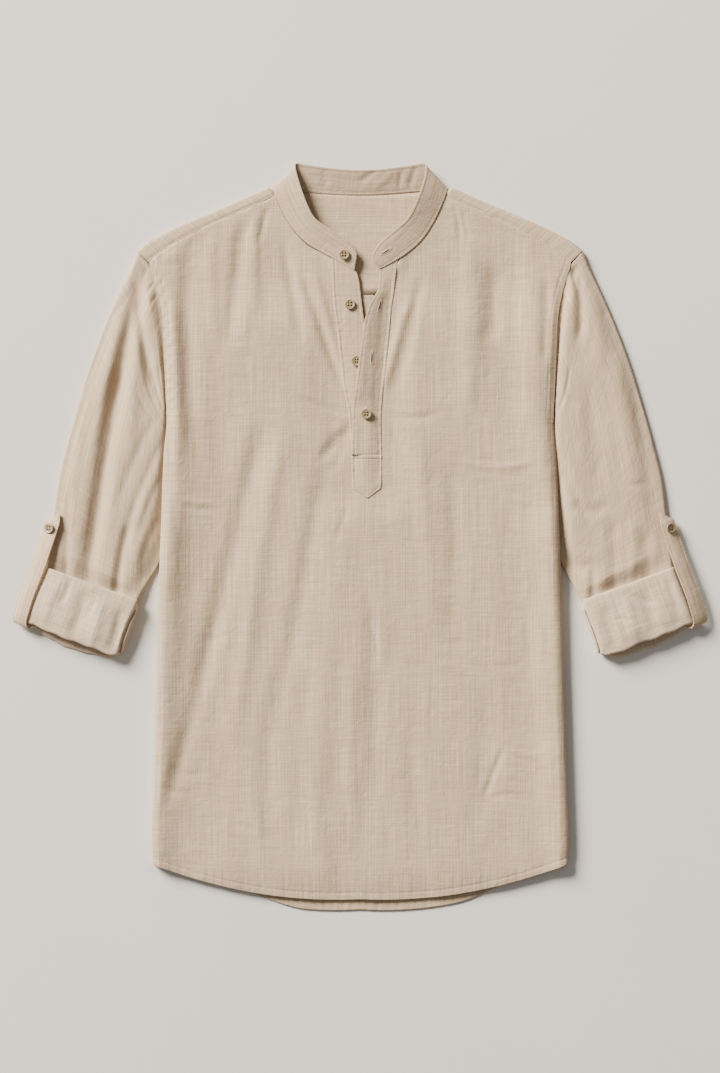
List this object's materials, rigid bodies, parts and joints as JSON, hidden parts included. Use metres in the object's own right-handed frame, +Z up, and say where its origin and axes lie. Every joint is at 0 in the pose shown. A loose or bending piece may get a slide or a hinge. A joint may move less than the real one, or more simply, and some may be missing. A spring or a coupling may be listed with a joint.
{
  "type": "mandarin collar popover shirt, laid flat",
  "caption": "Band-collar popover shirt laid flat, with a half placket, long sleeves rolled up under buttoned tabs, a forward yoke and a curved shirt-tail hem.",
  "frame": {"origin": "middle of the shirt's outline, on the surface that it lies on", "axes": "+X to the viewer's right across the shirt (the wearer's left), +Y from the hem to the collar, +Z up from the surface through the front"},
  "size_m": [0.7618, 0.8237, 0.0163],
  "materials": {
    "linen": "plain-weave slubbed linen blend, matt, warm beige",
    "button": "moulded polyester resin that looks like horn, satin"
  },
  "bodies": {
    "root": {"back": "linen", "yoke": "linen", "front": "linen", "collar": "linen", "placket_under": "linen", "placket_over": "linen", "sleeve_right": "linen", "cuff_right": "linen", "tab_right": "linen", "sleeve_left": "linen", "cuff_left": "linen", "tab_left": "linen", "button_collar": "button", "button_placket_1": "button", "button_placket_2": "button", "button_placket_3": "button", "button_tab_right": "button", "button_tab_left": "button"}
  },
  "joints": []
}
